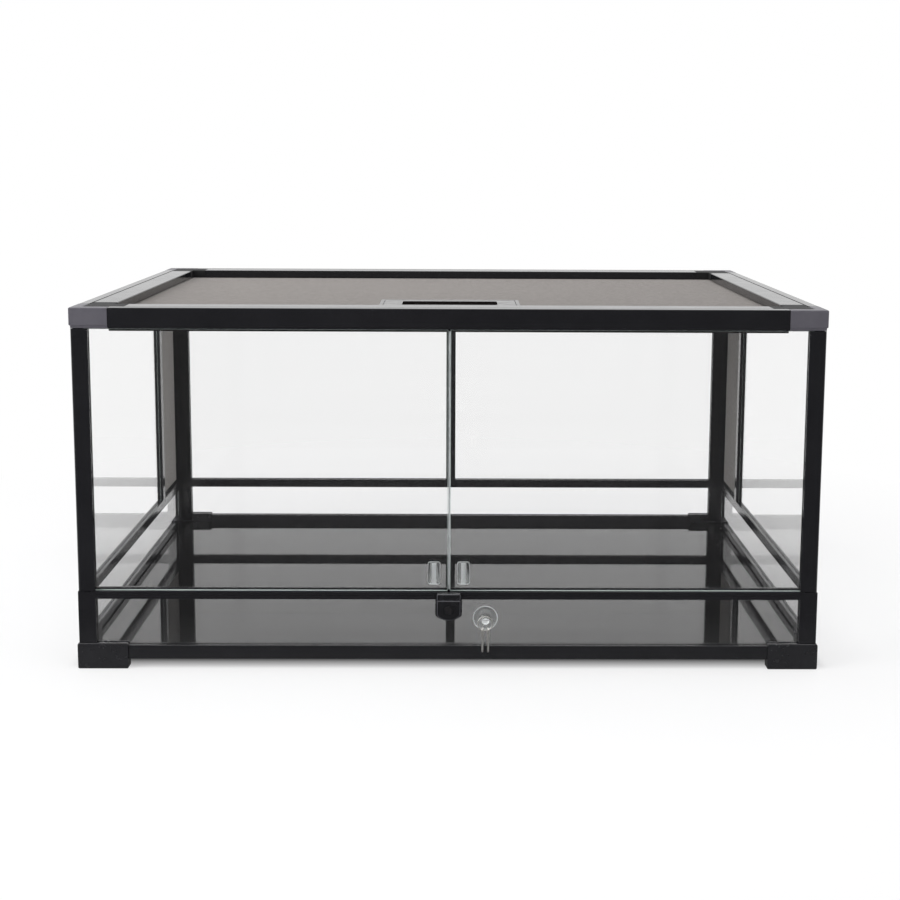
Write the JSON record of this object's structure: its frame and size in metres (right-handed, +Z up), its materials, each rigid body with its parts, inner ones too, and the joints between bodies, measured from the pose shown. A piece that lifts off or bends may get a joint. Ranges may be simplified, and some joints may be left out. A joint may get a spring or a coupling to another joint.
{
  "type": "terrarium cabinet",
  "caption": "Low glass terrarium cabinet with black metal frame, hinged front doors with a cam lock, wire net side vents and a lift-out wire net lid with a hatch.",
  "frame": {"origin": "centre of the footprint at the bottom of the feet", "axes": "+X along the width to the right seen from the front, front towards -Y, +Z up"},
  "size_m": [0.917, 0.6178, 0.45],
  "materials": {
    "coated_aluminium": "extruded aluminium with a semi-gloss black powder coat",
    "lid_aluminium": "extruded aluminium with a semi-gloss black coat on the lid frame",
    "cap_plastic": "matte dark grey moulded corner cap",
    "foot_plastic": "satin black moulded foot",
    "lock_plastic": "satin black moulded lock body",
    "hatch_plastic": "satin black moulded hatch",
    "float_glass": "clear float glass, fixed",
    "door_glass": "clear float glass with ground edges",
    "black_floor": "black high-gloss floor panel",
    "vent_wire": "fine woven wire net with a dark coat",
    "lid_wire": "fine woven wire net with a dark coat, on the lid",
    "clear_plastic": "clear moulded plastic door pull",
    "clear_vinyl": "clear soft vinyl suction cup",
    "nickel": "nickel-plated steel and zinc"
  },
  "bodies": {
    "cabinet": {"foot_front_left": "foot_plastic", "foot_front_right": "foot_plastic", "foot_rear_left": "foot_plastic", "foot_rear_right": "foot_plastic", "top_cap_front_left": "cap_plastic", "top_cap_front_right": "cap_plastic", "top_cap_rear_left": "cap_plastic", "top_cap_rear_right": "cap_plastic", "post_front_left": "coated_aluminium", "post_front_right": "coated_aluminium", "post_rear_left": "coated_aluminium", "post_rear_right": "coated_aluminium", "lower_post_front_left": "coated_aluminium", "lower_post_front_right": "coated_aluminium", "top_rail_front": "coated_aluminium", "top_rail_rear": "coated_aluminium", "top_rail_left": "coated_aluminium", "top_rail_right": "coated_aluminium", "bottom_rail_front": "coated_aluminium", "bottom_rail_rear": "coated_aluminium", "bottom_rail_left": "coated_aluminium", "bottom_rail_right": "coated_aluminium", "door_sill": "coated_aluminium", "belt_rail_rear": "coated_aluminium", "belt_rail_left": "coated_aluminium", "belt_rail_right": "coated_aluminium", "rear_centre_bar": "coated_aluminium", "vent_divider_left": "coated_aluminium", "vent_divider_right": "coated_aluminium", "lower_glass_front": "float_glass", "lower_glass_rear": "float_glass", "lower_glass_left": "float_glass", "lower_glass_right": "float_glass", "rear_glass_left": "float_glass", "rear_glass_right": "float_glass", "upper_glass_left": "float_glass", "upper_glass_right": "float_glass", "floor_panel": "black_floor", "vent_screen_left": "vent_wire", "vent_screen_right": "vent_wire", "lock_housing": "lock_plastic", "suction_cup": "clear_vinyl"},
    "left_door": {"door_stile_left": "coated_aluminium", "door_glass_left": "door_glass", "door_handle_left": "clear_plastic"},
    "right_door": {"door_stile_right": "coated_aluminium", "door_glass_right": "door_glass", "door_handle_right": "clear_plastic"},
    "screen_lid": {"lid_rail_front": "lid_aluminium", "lid_rail_rear": "lid_aluminium", "lid_rail_left": "lid_aluminium", "lid_rail_right": "lid_aluminium", "lid_screen": "lid_wire", "hatch_frame": "hatch_plastic"},
    "hatch_flap": {"hatch_door": "hatch_plastic"},
    "lock_cylinder": {"lock_plug": "nickel"},
    "lock_slider": {"lock_bolt": "lock_plastic"},
    "ring": {"key_ring": "nickel"},
    "first_key": {"key_left": "nickel"},
    "second_key": {"key_right": "nickel"}
  },
  "joints": [
    {"name": "left_door_hinge", "type": "hinge", "parent": "cabinet", "child": "left_door", "pos_m": [-0.4515, -0.2941, 0.26], "axis": [0, 0, 1], "range_deg": [-110, 0]},
    {"name": "right_door_hinge", "type": "hinge", "parent": "cabinet", "child": "right_door", "pos_m": [0.4515, -0.2941, 0.26], "axis": [0, 0, 1], "range_deg": [0, 110]},
    {"name": "lid_lift", "type": "slide", "parent": "cabinet", "child": "screen_lid", "axis": [0, 0, 1], "range_m": [0, 0.12]},
    {"name": "hatch_hinge", "type": "hinge", "parent": "screen_lid", "child": "hatch_flap", "pos_m": [0, -0.1882, 0.4477], "axis": [-1, 0, 0], "range_deg": [0, 105]},
    {"name": "bolt_rise", "type": "slide", "parent": "cabinet", "child": "lock_slider", "axis": [0, 0, 1], "range_m": [0, 0.006]},
    {"name": "lock_turn", "type": "hinge", "parent": "cabinet", "child": "lock_cylinder", "pos_m": [0, -0.305, 0.078], "axis": [0, -1, 0], "range_deg": [0, 90]},
    {"name": "ring_swing", "type": "hinge", "parent": "cabinet", "child": "ring", "pos_m": [0.0454, -0.3032, 0.0646], "axis": [0, 1, 0], "range_deg": [-20, 20]},
    {"name": "first_key_swing", "type": "hinge", "parent": "ring", "child": "first_key", "pos_m": [0.0421, -0.3032, 0.05123], "axis": [-1, 0, 0], "range_deg": [0, 60]},
    {"name": "second_key_swing", "type": "hinge", "parent": "ring", "child": "second_key", "pos_m": [0.0487, -0.3032, 0.05123], "axis": [-1, 0, 0], "range_deg": [0, 60]}
  ],
  "couplings": [
    {"joint": "lock_turn", "follows": "bolt_rise", "rad_per_m": 261.7}
  ]
}
